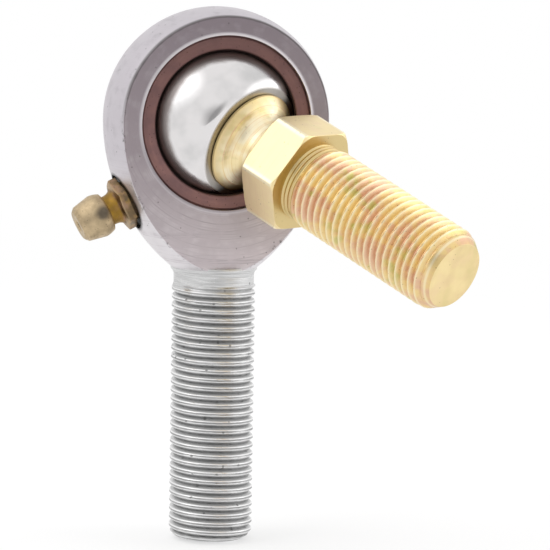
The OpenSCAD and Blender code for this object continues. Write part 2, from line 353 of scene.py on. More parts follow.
@dataclass(frozen=True)
class Finish:
    """A finish with its main colour, gloss and metal share; subclasses draw its detail.

    In all finishes a pair of heights or radii, in millimetres, is where a change starts and where it ends.
    The numbers beside it are shares of a colour from 0 to 1.
    """

    name: str
    colour: Triple
    roughness: float
    metal: float = 1.0

    def material(self, groups: Groups) -> bpy.types.Material:
        """Builds the node material.

        Args:
            groups: The shared node groups.

        Returns:
            The finished material.
        """
        made = bpy.data.materials.new(self.name)
        n = emptied(made)
        shader = n.value("ShaderNodeBsdfPrincipled", {"Metallic": self.metal, **self.dress(n, groups)})
        n.add("ShaderNodeOutputMaterial", {0: shader})
        return made

    def dress(self, n: Nodes, groups: Groups) -> dict[str, object]:
        """Draws the finish; the plain one is a faintly mottled metal.

        Args:
            n: Helper of the material's tree.
            groups: The shared node groups.

        Returns:
            Inputs of the shader by name.
        """
        blotch = groups.pits.place(n, Place=self.place(n), Size=0.12, Amount=0.1)["Blotch"]
        return {"Base Color": n.mix(blotch, self.colour, scaled(self.colour, 0.75)),
                "Roughness": self.gloss(blotch, 0.05)}

    def gloss(self, share: Value, change: float) -> Value:
        """Returns the roughness, changed where a share is 1."""
        return share.ramp(0.0, 1.0, self.roughness, self.roughness + change)

    @staticmethod
    def place(n: Nodes, name: str = "place") -> Value:
        """Returns Object coordinates in millimetres, from a node of that name."""
        metres = n.value("ShaderNodeTexCoord", output="Object", name=name)
        return n.vector("MULTIPLY", metres, (1.0 / MM,) * 3)

    @staticmethod
    def turned(n: Nodes) -> tuple[Value, Value, Value]:
        """Returns the piece's own place about its turning axis, its radius and its height, in millimetres."""
        own = n.value("ShaderNodeAttribute", output="Vector", attribute_name="turned")
        x, y, z = own.split()
        return own, x.hypot(y), z

    @staticmethod
    def share(n: Nodes, name: str) -> Value:
        """Returns a float attribute of the piece."""
        return n.value("ShaderNodeAttribute", output="Fac", attribute_name=name)

    @staticmethod
    def relief(n: Nodes, height: Value, depth: float) -> Value:
        """Returns the normal of a relief of that depth in millimetres."""
        return n.value("ShaderNodeBump", {"Height": height, "Distance": depth * MM, "Strength": 1.0})


@dataclass(frozen=True)
class ForgedZinc(Finish):
    """Satin zinc on the eye: brushed rim, duller turned faces, a lip with a painted highlight above, and
    nicked edges, with more painted light and shade on all of them.
    """

    low_colour: Triple = (0.62, 0.56, 0.585)
    mid_colour: Triple = (0.36, 0.312, 0.332)
    top_colour: Triple = (0.255, 0.217, 0.238)
    rim_light_colour: Triple = (0.84, 0.81, 0.82)
    sheen_colour: Triple = (0.9, 0.87, 0.88)
    lip_highlight_colour: Triple = (0.78, 0.74, 0.75)
    lip_shade_colour: Triple = (0.3, 0.26, 0.28)
    nick_and_edge_shade_colour: Triple = (0.12, 0.11, 0.11)
    seat_shadow_colour: Triple = (0.01, 0.01, 0.01)
    face_metal: float = 0.35
    rim_light_low: Point = (-14.0, -4.0)
    rim_scuffed: Point = (-9.0, -3.0)
    face_shade_low: Point = (-20.0, -4.0)
    face_shade_high: Point = (-4.0, 15.0)
    streaked: Point = (-14.0, 4.0)
    scored: Point = (-12.0, 2.0)
    brushed: Point = (-19.0, -11.0)
    lip_highlight: Point = (-9.0, 6.0)
    lip_shade: Point = (-8.0, 1.0)
    edge_shade: Point = (-2.0, 7.0)
    lip: float = 12.8
    lip_fades: Point = (12.95, 13.35)
    seat: Triple = (-13.9, -12.14, 0.0)
    seat_angle: float = 25.5
    seat_radius: float = 4.37
    seat_floor: float = -5.0

    def dress(self, n: Nodes, groups: Groups) -> dict[str, object]:
        """Draws the rim, the turned faces, the lip of the bore and the nicks, with painted light and shade on
        them and a painted shadow round the nipple's seat.
        """
        own, radius, _ = self.turned(n)
        up = own.split()[1]
        face, edge = self.share(n, "face"), self.share(n, "edge")
        pits = groups.pits.place(n, Place=own, Size=0.2, Amount=0.06)
        arcs = groups.turning.place(n, Distance=radius, Spacing=0.22, Place=own, Breakup=0.6)
        rows = groups.turning.place(n, Distance=up, Spacing=0.3, Place=own, Breakup=0.8)
        cloud = pits["Blotch"] * rows["Height"].ramp(0.25, 0.6)
        # The blotches and scuffed rows are the rim's own marks; painted light makes the rim lighter towards
        # its bottom.
        rim = n.coat(self.colour, (cloud * 0.4, scaled(self.colour, 0.6)),
                     (up.ramp(*self.rim_light_low, 0.6, 0.0), self.rim_light_colour),
                     (rows["Lines"] * up.ramp(*self.rim_scuffed, 0.4, 0.1), self.mid_colour))
        # Painted shade: the turned faces darken from low_colour at the bottom through mid_colour to
        # top_colour at the top.
        plate = n.coat(self.low_colour, (up.ramp(*self.face_shade_low, smooth=False), self.mid_colour),
                       (up.ramp(*self.face_shade_high, smooth=False), self.top_colour))
        # Painted sheen on the turning arcs of the faces, stronger low down.
        arc_sheen = arcs["Height"].ramp(0.3, 0.62) * up.ramp(*self.streaked, 0.6, 0.3)
        lines = arcs["Lines"] * up.ramp(*self.scored, 0.42, 0.12)
        lines = lines | rows["Lines"] * up.ramp(*self.brushed, 0.45, 0.0)
        plate = n.coat(plate, (arc_sheen, n.mix(0.3, plate, self.sheen_colour)),
                       (lines | pits["Blotch"] * 0.2, self.top_colour))
        # Dark nicks and pits on the edges, and painted shade that darkens the edges towards the top.
        chips = own.speckle(1.1, 4.0, 0.7).ramp(0.52, 0.66) * edge
        spots = pits["Pits"] * 0.5 | (chips * 0.75 | up.ramp(*self.edge_shade, 0.0, 0.8) * edge)
        # Painted highlight on the upper part of the bore's lip, and painted shade on its lower part.
        lip = (radius > self.lip) * radius.ramp(*self.lip_fades, 1.0, 0.0)
        base = n.coat(rim, (face, plate), (lip * up.ramp(*self.lip_highlight, 0.0, 0.8), self.lip_highlight_colour),
                      (lip * up.ramp(*self.lip_shade, 0.85, 0.0), self.lip_shade_colour), (spots, self.nick_and_edge_shade_colour),
                      # Painted shadow in the nipple's seat and round its wall.
                      (self.seat_shadow(n, own), self.seat_shadow_colour))
        marks = arcs["Height"] * (face * 1.4) + rows["Height"] * (0.5 - face * 0.5)
        height = marks + spots * -1.5 + own.speckle(5.0, 4.0, 0.6) * 0.6
        return {"Base Color": base, "Metallic": face.ramp(0.0, 1.0, self.metal, self.face_metal),
                "Specular IOR Level": 0.0, "Roughness": self.gloss(pits["Blotch"], 0.08) + face * 0.06,
                "Normal": self.relief(n, height, 0.018)}

    def seat_shadow(self, n: Nodes, own: Value) -> Value:
        """Returns the painted shadow in the pocket that the nipple is seated in, which thins out around it.
        """
        turn = math.radians(self.seat_angle)
        along = (-math.cos(turn), -math.sin(turn), 0.0)
        offset = n.vector("SUBTRACT", own, self.seat)
        away = n.vector("LENGTH", n.vector("CROSS_PRODUCT", offset, along), output="Value")
        wall = self.seat_radius
        shade = away.ramp(wall, wall + 0.05, 0.2, 0.0) + away.ramp(wall, wall + 0.6, 0.8, 0.0)
        return shade * (n.vector("DOT_PRODUCT", offset, along, output="Value") > self.seat_floor)


@dataclass(frozen=True)
class RolledZinc(Finish):
    """Bright zinc on the shank, with the thread's light painted in: painted shade in the seam on each crest
    between painted highlights on its edges, and painted shade that greys the flanks and darkens the roots.

    The pairs from seam on are distances from the crest, as parts of a turn.
    """

    root_shade_and_pit_colour: Triple = (0.2, 0.2, 0.2)
    seam_shade_colour: Triple = (0.3, 0.3, 0.3)
    flank_shade_colour: Triple = (0.52, 0.52, 0.52)
    crest_highlight_colour: Triple = (0.95, 0.95, 0.95)
    pitch: float = 1.27
    run_out: Point = (37.2, 38.2)
    seam: Point = (0.03, 0.13)
    highlight_rise: Point = (0.08, 0.14)
    highlight_fall: Point = (0.18, 0.26)
    flank: Point = (0.2, 0.3)
    root: Point = (0.4, 0.47)

    def dress(self, n: Nodes, groups: Groups) -> dict[str, object]:
        """Draws streaked flanks, the seam that rolling leaves on the crest, handling marks and pits, with the
        thread's painted highlights and painted shade.
        """
        own, _, height = self.turned(n)
        cut = height.ramp(*self.run_out, 1.0, 0.0)
        pits = groups.pits.place(n, Place=own, Size=0.3, Amount=0.1)["Pits"]
        spot = groups.thread.place(n, Place=own, Pitch=self.pitch, Hand=float(Hand.LEFT))
        away, streaks = abs(spot["Along"]), spot["Streaks"]
        seam = away.ramp(*self.seam, 1.0, 0.0) * streaks.ramp(0.2, 0.8, 0.5, 1.0)
        # The handling streaks and pits are real marks; the rest is painted light: greyer flanks, highlights
        # on the crest edges, and shade in the seam and the roots.
        base = n.coat(self.colour, (streaks * 0.6, scaled(self.colour, 0.6)),
                      (away.ramp(*self.flank) * 0.6 * cut, self.flank_shade_colour),
                      (away.band(self.highlight_rise, self.highlight_fall) * 0.8 * cut, self.crest_highlight_colour),
                      (seam * 0.85 * cut, self.seam_shade_colour),
                      (away.ramp(*self.root) * 0.8 * cut, self.root_shade_and_pit_colour),
                      (pits * 0.75, self.root_shade_and_pit_colour))
        return {"Base Color": base, "Roughness": self.gloss(streaks, 0.15),
                "Normal": self.relief(n, 0.0 - (streaks * 0.25 + (seam + pits)), 0.03)}


@dataclass(frozen=True)
class YellowZinc(Finish):
    """Iridescent yellow zinc on the stud: cream neck, gold, pink and olive elsewhere, a painted highlight
    that turns the hexagon cream towards its corners, and painted shade below the hexagon and on the flange.
    """

    gold: Triple = (0.84, 0.61, 0.25)
    pink: Triple = (0.76, 0.48, 0.32)
    olive: Triple = (0.58, 0.53, 0.18)
    cream: Triple = (0.98, 0.88, 0.64)
    crest: Triple = (0.95, 0.82, 0.54)
    shade: Triple = (0.6, 0.46, 0.2)
    pit: Triple = (0.2, 0.14, 0.08)
    flange_to: Point = (8.1, 8.8)
    neck_from: Point = (7.8, 8.2)
    neck_to: Point = (13.7, 14.0)
    hexagon_to: Point = (20.4, 20.5)
    corner: Point = (8.3, 8.52)
    rings_from: Point = (20.4, 20.43)
    rings_to: Point = (22.0, 22.8)
    thread_from: Point = (22.2, 22.8)
    tip: Point = (48.8, 49.4)

    def dress(self, n: Nodes, groups: Groups) -> dict[str, object]:
        """Draws the bands of the plating, darker where the plate is thick, and fine turned lines, with a
        painted highlight on the hexagon's corners and painted shade below the hexagon and on the flange.
        """
        own, radius, height = self.turned(n)
        groove = self.share(n, "groove")
        pits = groups.pits.place(n, Place=own, Size=0.14, Amount=0.06)["Pits"]
        hue = n.value("ShaderNodeMapping", {"Vector": own, "Scale": (0.16, 0.16, 0.1)}).speckle(1.6, 3.0, 0.6)
        moved = {"Vector": own, "Location": (9.0, 4.0, 2.0), "Scale": (0.2, 0.2, 0.16)}
        other = n.value("ShaderNodeMapping", moved).speckle(1.5, 2.0)
        tint = n.coat(self.gold, (hue.ramp(0.4, 0.62), self.pink), (other.ramp(0.54, 0.7), self.olive))
        thick = groove.ramp(0.03, 0.4, 0.0, 0.7) + hue.ramp(0.25, 0.8, 0.02, 0.3)
        lathe = height.ramp(*self.tip, 1.0, 0.0)
        threaded = height.ramp(*self.thread_from) * lathe
        neck = height.band(self.neck_from, self.neck_to)
        hexagon = height.band(self.neck_to, self.hexagon_to)
        rings = height.band(self.rings_from, self.rings_to)
        flange = height.ramp(*self.flange_to, 1.0, 0.0)
        across = height - radius * (1.0 - hexagon)
        marks = groups.turning.place(n, Distance=across, Spacing=0.2, Place=own, Breakup=0.4)
        base = n.coat(self.colour, (threaded, self.crest), (thick, tint),
                      (neck * other.ramp(0.42, 0.6, 1.0, 0.3), self.cream),
                      (neck * hue.ramp(0.5, 0.6, 0.0, 0.35), self.olive),
                      # Painted highlight: the hexagon turns cream towards its corners.
                      (hexagon * radius.ramp(*self.corner, 0.2, 0.9), self.cream),
                      # Painted shade in the ringed relief below the hexagon and on the flange beside the
                      # ball.
                      (rings * 0.7 | flange * 0.5, self.shade),
                      (marks["Lines"] * (lathe * (0.25 + neck * 0.55)), tint),
                      ((1.0 - lathe) * other.ramp(0.3, 0.7, 0.0, 0.3), self.shade), (pits * 0.5, self.pit))
        gloss = groove.ramp(0.2, 1.0, self.roughness, self.roughness + 0.1) + (marks["Height"] - 0.4) * 0.1
        return {"Base Color": base, "Roughness": gloss + neck * 0.04,
                "Normal": self.relief(n, marks["Height"] * lathe, 0.02)}


@dataclass(frozen=True)
class SmudgedChrome(Finish):
    """Mirror chrome with faint smudges, ground flats and a dark greasy layer with painted shadow along the
    race's mouth.
    """

    SEAT_PLACE: ClassVar[str] = "seat_place"

    smudge_and_reflection: Triple = (0.5, 0.5, 0.5)
    ground: Triple = (0.49, 0.47, 0.44)
    grease: Triple = (0.19, 0.155, 0.142)
    flat_from: Point = (7.16, 7.28)
    film_and_shadow: Point = (8.9, 9.6)
    mouth: Point = (9.6, 10.45)
    centre: float = 62.5

    def dress(self, n: Nodes, groups: Groups) -> dict[str, object]:
        """Draws soft smudges, the ground flats and the dark greasy layer with painted shadow."""
        own, radius, height = self.turned(n)
        cloud = own.speckle(0.16, 3.0, 0.5).ramp(0.45, 0.75)
        pits = groups.pits.place(n, Place=own, Size=0.12, Amount=0.03)["Pits"]
        flat = abs(height).ramp(*self.flat_from)
        # A dark greasy layer with painted shadow where the ball meets the race's mouth.
        film_and_shadow = self.grease_and_shadow(n) * (1.0 - flat)
        base = n.coat(self.colour, (cloud * 0.6, self.smudge_and_reflection), (flat, self.ground), (film_and_shadow, self.grease))
        rings = groups.turning.place(n, Distance=radius, Spacing=0.1, Place=own, Breakup=0.7)["Height"]
        return {"Base Color": base, "Roughness": self.gloss(cloud, 0.14) + (film_and_shadow | flat) * 0.22,
                "Normal": self.relief(n, rings * 0.12 - pits, 0.004)}

    def grease_and_shadow(self, n: Nodes) -> Value:
        """Returns the share of the dark greasy layer and painted shadow, which the race keeps at its mouth
        however the ball leans.
        """
        part = self.place(n, self.SEAT_PLACE)
        x, _, z = part.split()
        radius = x.hypot(z - self.centre)
        uneven = radius + (part.speckle(0.5, 3.0) - 0.5) * 0.5
        return uneven.ramp(*self.film_and_shadow, 0.0, 0.8) + radius.ramp(*self.mouth, 0.0, 0.14)


@dataclass(frozen=True)
class RaceBronze(Finish):
    """Matt reddish brown race with a purple cast, painted shade that darkens it above, and fine turned lines.
    """

    purple: Triple = (0.17, 0.1, 0.105)
    grease: Triple = (0.02, 0.014, 0.012)
    mouth: Point = (10.68, 10.8)
    shaded: Point = (-8.0, 12.0)

    def dress(self, n: Nodes, groups: Groups) -> dict[str, object]:
        """Draws the turned face, oily patches and small specks, the painted shade above, and a dark greasy
        layer with painted shadow at the mouth.
        """
        own, radius, _ = self.turned(n)
        up = own.split()[1]
        pits = groups.pits.place(n, Place=own, Size=0.12, Amount=0.2)
        rings = groups.turning.place(n, Distance=radius, Spacing=0.12, Place=own, Breakup=0.3)["Height"]
        # A dark greasy layer with painted shadow in the gap at the race's mouth; the pits share its dark
        # colour.
        grease = radius.ramp(*self.mouth, 1.0, 0.0)
        base = n.coat(self.colour, (pits["Blotch"] * 0.7, self.purple),
                      (rings.ramp(0.4, 0.7, 0.0, 0.3), scaled(self.colour, 1.5)),
                      # Painted shade: the race darkens towards the top.
                      (up.ramp(*self.shaded, 0.0, 0.5), scaled(self.colour, 0.35)),
                      (pits["Pits"] * 0.6 | grease * 0.92, self.grease))
        return {"Base Color": base, "Specular IOR Level": 0.1, "Roughness": self.gloss(pits["Blotch"], -0.15),
                "Normal": self.relief(n, rings, 0.012)}


@dataclass(frozen=True)
class OliveZinc(Finish):
    """Dull olive zinc of the lubricating nipple: bronze, pink and yellow below, yellow neck, mottled head
    with a painted dark reflection.
    """

    yellow: Triple = (0.33, 0.19, 0.03)
    pink: Triple = (0.36, 0.22, 0.16)
    bronze: Triple = (0.13, 0.085, 0.045)
    smudge_and_reflection: Triple = (0.1, 0.085, 0.07)
    neck_from: Point = (1.1, 1.5)
    neck_to: Point = (2.9, 3.3)
    head_from: Point = (2.6, 2.9)
    corner: Point = (2.7, 3.1)
    shoulder: Point = (0.6, 1.0)
    reflection_at: Triple = (0.7, -3.1, 3.9)
    reflection_size: Point = (1.0, 2.0)

    def dress(self, n: Nodes, groups: Groups) -> dict[str, object]:
        """Draws mottled plating, a lighter tone on the hexagon's outer faces, a yellow neck and a painted
        dark reflection on the head.
        """
        own, radius, height = self.turned(n)
        pits = groups.pits.place(n, Place=own, Size=0.12, Amount=0.18)["Pits"]
        mottle = own.speckle(0.9, 4.0, 0.6).ramp(0.3, 0.7)
        patch = own.speckle(0.55, 3.0, 0.6).ramp(0.38, 0.62)
        head = n.mix(mottle * 0.6, self.colour, scaled(self.colour, 0.62))
        # Lighter tone towards the hexagon's outer faces, more on its sloping top face.
        outer_tone = radius.ramp(*self.corner) * height.ramp(*self.shoulder, 0.15, 0.5)
        # Painted reflection: a dark patch on the head round reflection_at; the pits share its colour.
        away = n.vector("DISTANCE", own, self.reflection_at, output="Value") + own.speckle(0.9, 3.0)
        base = n.coat(self.bronze, (patch, n.mix(mottle, self.yellow, self.pink)), (outer_tone, self.colour),
                      (height.ramp(*self.head_from), head),
                      (height.band(self.neck_from, self.neck_to) * 0.75, self.yellow),
                      (away.ramp(*self.reflection_size, 1.0, 0.0) * 0.85, self.smudge_and_reflection), (pits * 0.6, self.smudge_and_reflection))
        across = radius + height
        rings = groups.turning.place(n, Distance=across, Spacing=0.14, Place=own, Breakup=0.5)["Height"]
        return {"Base Color": base, "Roughness": self.gloss(mottle, 0.12),
                "Normal": self.relief(n, rings, 0.012)}


FORGED_ZINC = ForgedZinc("forged_zinc", (0.6, 0.565, 0.6), 0.36)
ROLLED_ZINC = RolledZinc("rolled_zinc", (0.7, 0.7, 0.7), 0.26)
YELLOW_ZINC = YellowZinc("yellow_zinc", (0.92, 0.75, 0.4), 0.34)
CHROME = SmudgedChrome("hard_chrome", (0.76, 0.74, 0.74), 0.1)
RACE_BRONZE = RaceBronze("race_bronze", (0.32, 0.172, 0.155), 0.6, 0.3)
OLIVE_ZINC = OliveZinc("olive_zinc", (0.58, 0.45, 0.28), 0.38)
VALVE_STEEL = Finish("valve_steel", (0.6, 0.6, 0.61), 0.2)


def link(name: str, data: bpy.types.ID) -> bpy.types.Object:
    """Adds an object to the scene."""
    obj = bpy.data.objects.new(name, data)
    bpy.context.scene.collection.objects.link(obj)
    return obj


def arc(centre: Point, radius: float, start: float, end: float, steps: int) -> list[Point]:
    """Lists points on an arc.

    Args:
        centre: Centre, as distance from the axis and height.
        radius: Radius of the arc.
        start: Angle of the first point, in degrees from outwards.
        end: Angle of the last point.
        steps: Segments between them.

    Returns:
        Points of the half outline.
    """
    angles = [math.radians(start + (end - start) * i / steps) for i in range(steps + 1)]
    return [(centre[0] + radius * math.cos(a), centre[1] + radius * math.sin(a)) for a in angles]


def line(first: Point, last: Point, steps: int) -> list[Point]:
    """Lists evenly spaced points from first to last."""
    return [(first[0] + (last[0] - first[0]) * i / steps, first[1] + (last[1] - first[1]) * i / steps)
            for i in range(steps + 1)]


def even_columns(count: int) -> list[float]:
    """Returns angles spread evenly over a turn."""
    return [TURN * i / count for i in range(count)]


@dataclass(frozen=True)
class Hexagon:
    """A hexagon across flats with slightly rounded corners, the first corner at angle 0."""

    SIDE: ClassVar[float] = math.pi / 3

    across: float
    corner: float
    per_side: int = 10

    @property
    def round_centre(self) -> float:
        """Distance of a corner's rounding centre from the axis."""
        return (self.across / 2 - self.corner) / math.cos(self.SIDE / 2)

    @property
    def rounding(self) -> float:
        """Half angle that a rounded corner takes."""
        return math.atan2(self.corner / 2, self.round_centre + self.corner * math.cos(self.SIDE / 2))

    def radius(self, angle: float) -> float:
        """Returns the distance from the axis to the outline at an angle."""
        off = abs((angle + self.SIDE / 2) % self.SIDE - self.SIDE / 2)
        if off > self.rounding:
            return self.across / 2 / math.cos(self.SIDE / 2 - off)
        centre = self.round_centre
        return centre * math.cos(off) + math.sqrt(self.corner ** 2 - (centre * math.sin(off)) ** 2)

    def columns(self) -> list[float]:
        """Returns angles that follow each corner's rounding and the flats between."""
        edge = self.rounding
        step = (self.SIDE - 2 * edge) / self.per_side
        part = [edge * i / 2 for i in range(-2, 2)] + [edge + step * i for i in range(self.per_side)]
        return [side * self.SIDE + angle for side in range(6) for angle in part]


class Sketch:
    """Vertices in millimetres of a piece's own frame, and the faces between them."""

    def __init__(self) -> None:
        """Starts with no vertices."""
        self.points: list[Vector] = []
        self.faces: list[list[int]] = []

    def ring(self, points: Iterable[Vector]) -> list[int]:
        """Adds vertices and returns their numbers."""
        start = len(self.points)
        self.points.extend(points)
        return list(range(start, len(self.points)))

    def bridge(self, rings: Sequence[Sequence[int]], closed: bool = False) -> None:
        """Joins rings of equal length, each to the next, by four-sided faces.

        Args:
            rings: Vertex numbers of each ring.
            closed: Whether the last ring joins the first.
        """
        for lower, upper in zip(rings, [*rings[1:], rings[0]] if closed else rings[1:]):
            for i in range(len(lower)):
                j = (i + 1) % len(lower)
                self.faces.append([lower[i], lower[j], upper[j], upper[i]])

    def turn(self, rows: Sequence[Row], columns: Sequence[float], closed: bool = False) -> "Sketch":
        """Adds a turned shape.

        Args:
            rows: Half outline, as points or as functions of the angle that give a point.
            columns: Angles about the axis, in order.
            closed: Whether the last row joins the first, as on a ring.

        Returns:
            This sketch.
        """
        rings = []
        for row in rows:
            points = [(a, row(a) if callable(row) else row) for a in columns]
            rings.append(self.ring(Vector((r * math.cos(a), r * math.sin(a), h)) for a, (r, h) in points))
        self.bridge(rings, closed)
        return self

    def mesh(self, name: str) -> bpy.types.Mesh:
        """Makes a closed mesh of that name, in millimetres, with its faces outwards."""
        made = bpy.data.meshes.new(name)
        made.from_pydata(self.points, [], self.faces)
        shape = bmesh.new()
        shape.from_mesh(made)
        bmesh.ops.remove_doubles(shape, verts=shape.verts, dist=1e-4)
        bmesh.ops.dissolve_degenerate(shape, dist=1e-5, edges=shape.edges)
        bmesh.ops.recalc_face_normals(shape, faces=shape.faces)
        shape.to_mesh(made)
        shape.free()
        return made


def bake(obj: bpy.types.Object) -> None:
    """Turns an object's modifiers into a plain mesh and removes them."""
    bpy.context.view_layer.update()
    graph = bpy.context.evaluated_depsgraph_get()
    shown = obj.evaluated_get(graph)
    obj.data = bpy.data.meshes.new_from_object(shown, preserve_all_data_layers=True, depsgraph=graph)
    obj.modifiers.clear()


class Part:
    """A visible piece: subclasses give its shape, and this class places it and ties it to the frame."""

    NAME: ClassVar[str]
    NODE: ClassVar[str]
    SLOT: ClassVar[str]
    BODY: ClassVar[Body] = Body.HOUSING
    SHARP: ClassVar[float] = 32.0

    def sketch(self) -> Sketch:
        """Returns the shape in millimetres of the piece's own frame."""
        raise NotImplementedError

    def work(self, obj: bpy.types.Object) -> None:
        """Works on the shape in the piece's own frame; most pieces need no more."""

    def build(self, finish: bpy.types.Material, place: Matrix) -> bpy.types.Object:
        """Makes the piece.

        Args:
            finish: Its material.
            place: Its own frame in the part's frame, in millimetres.

        Returns:
            The finished object.
        """
        obj = link(self.NAME, self.sketch().mesh(self.NAME))
        obj.data.materials.append(finish)
        self.work(obj)
        mesh = obj.data
        turned = mesh.attributes.new("turned", "FLOAT_VECTOR", "POINT")
        turned.data.foreach_set("vector", [part for vertex in mesh.vertices for part in vertex.co])
        mesh.transform(Matrix.Scale(MM, 4) @ place)
        mesh.shade_smooth()
        mesh.set_sharp_from_angle(angle=math.radians(self.SHARP))
        obj.modifiers.new("weighted", "WEIGHTED_NORMAL").keep_sharp = True
        bake(obj)
        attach(obj, self.BODY.value)
        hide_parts(self.NODE)
        log.info("%s: %d faces on %s", self.NAME, len(obj.data.polygons), self.BODY.value)
        return obj


@dataclass(frozen=True)
class Thread:
    """Sizes of a thread in millimetres along its axis; crest, root and crown shape its flanks."""

    pitch: float
    depth: float
    radius: float
    start: float
    end: float
    hand: Hand
    crest: float = 0.0
    root: float = 0.94
    crown: float = 1.0
    run_in: float = 0.01
    run_out: float = 0.01
    seam: float = 0.0
    per_turn: int = 18

    def rows(self, low: float, high: float) -> int:
        """Returns how many rows a blank needs between two heights."""
        return max(1, round((high - low) / self.pitch * self.per_turn))


class ThreadTree:
    """Geometry nodes that roll a helical thread into a turned blank."""

    SIZES = ("pitch", "depth", "radius", "start", "end", "hand", "crest", "root", "crown",
             "run_in", "run_out", "seam")
    SEAM_EDGES: Point = (0.04, 0.24)
    LEAST_RADIUS = 0.001

    def __init__(self) -> None:
        """Builds the tree, with its sizes in millimetres as named inputs."""
        self.tree = bpy.data.node_groups.new("rolled_thread", "GeometryNodeTree")
        face = self.tree.interface
        kinds = {"blank": "Geometry", **dict.fromkeys(self.SIZES, "Float"), "finish": "Material"}
        self.ids = {}
        for name, kind in kinds.items():
            socket = face.new_socket(name=name, in_out="INPUT", socket_type=f"NodeSocket{kind}")
            self.ids[name] = socket.identifier
        face.new_socket(name="threaded", in_out="OUTPUT", socket_type="NodeSocketGeometry")
        n = Nodes(self.tree)
        given = n.named("NodeGroupInput")
        start, end = given["start"], given["end"]
        x, y, z = n.value("GeometryNodeInputPosition").split()
        turns = z / given["pitch"] - n.math("ARCTAN2", y, x) / TURN * given["hand"]
        from_crest = 1.0 - abs(n.math("FRACT", turns) * 2.0 - 1.0)
        form = from_crest.ramp(given["crest"], given["root"], smooth=False) ** given["crown"]
        fades = z.ramp(end - given["run_out"], end, 1.0, 0.0)
        cut = form * (z.ramp(start, start + given["run_in"]) * fades)
        lap = from_crest.ramp(*self.SEAM_EDGES, given["seam"], 0.0) * fades
        limit = given["radius"] - cut * given["depth"] - lap
        radius, on_thread = x.hypot(y), (z > start) * (z < end)
        kept = (radius - (radius - limit | 0.0) * on_thread) / (radius | self.LEAST_RADIUS)
        spot = n.value("ShaderNodeCombineXYZ", {0: x * kept, 1: y * kept, 2: z})
        stored = {"Geometry": given["blank"], "Name": "groove", "Value": cut * on_thread}
        groove = n.value("GeometryNodeStoreNamedAttribute", stored, data_type="FLOAT", domain="POINT")
        moved = n.value("GeometryNodeSetPosition", {"Geometry": groove, "Position": spot})
        whole = n.value("GeometryNodeRealizeInstances", {0: moved})
        dressed = n.value("GeometryNodeSetMaterial", {"Geometry": whole, "Material": given["finish"]})
        n.add("NodeGroupOutput", {0: dressed})

    def cut(self, obj: bpy.types.Object, thread: Thread) -> None:
        """Rolls a thread into an object and keeps the result as its plain mesh."""
        roll = obj.modifiers.new("thread", "NODES")
        roll.node_group = self.tree
        for name in self.SIZES:
            roll[self.ids[name]] = float(getattr(thread, name))
        roll[self.ids["finish"]] = obj.data.materials[0]
        bake(obj)


@dataclass
class ThreadedPart(Part):
    """A turned piece that carries a rolled thread."""

    tree: ThreadTree
    thread: Thread

    def work(self, obj: bpy.types.Object) -> None:
        """Rolls the thread."""
        self.tree.cut(obj, self.thread)


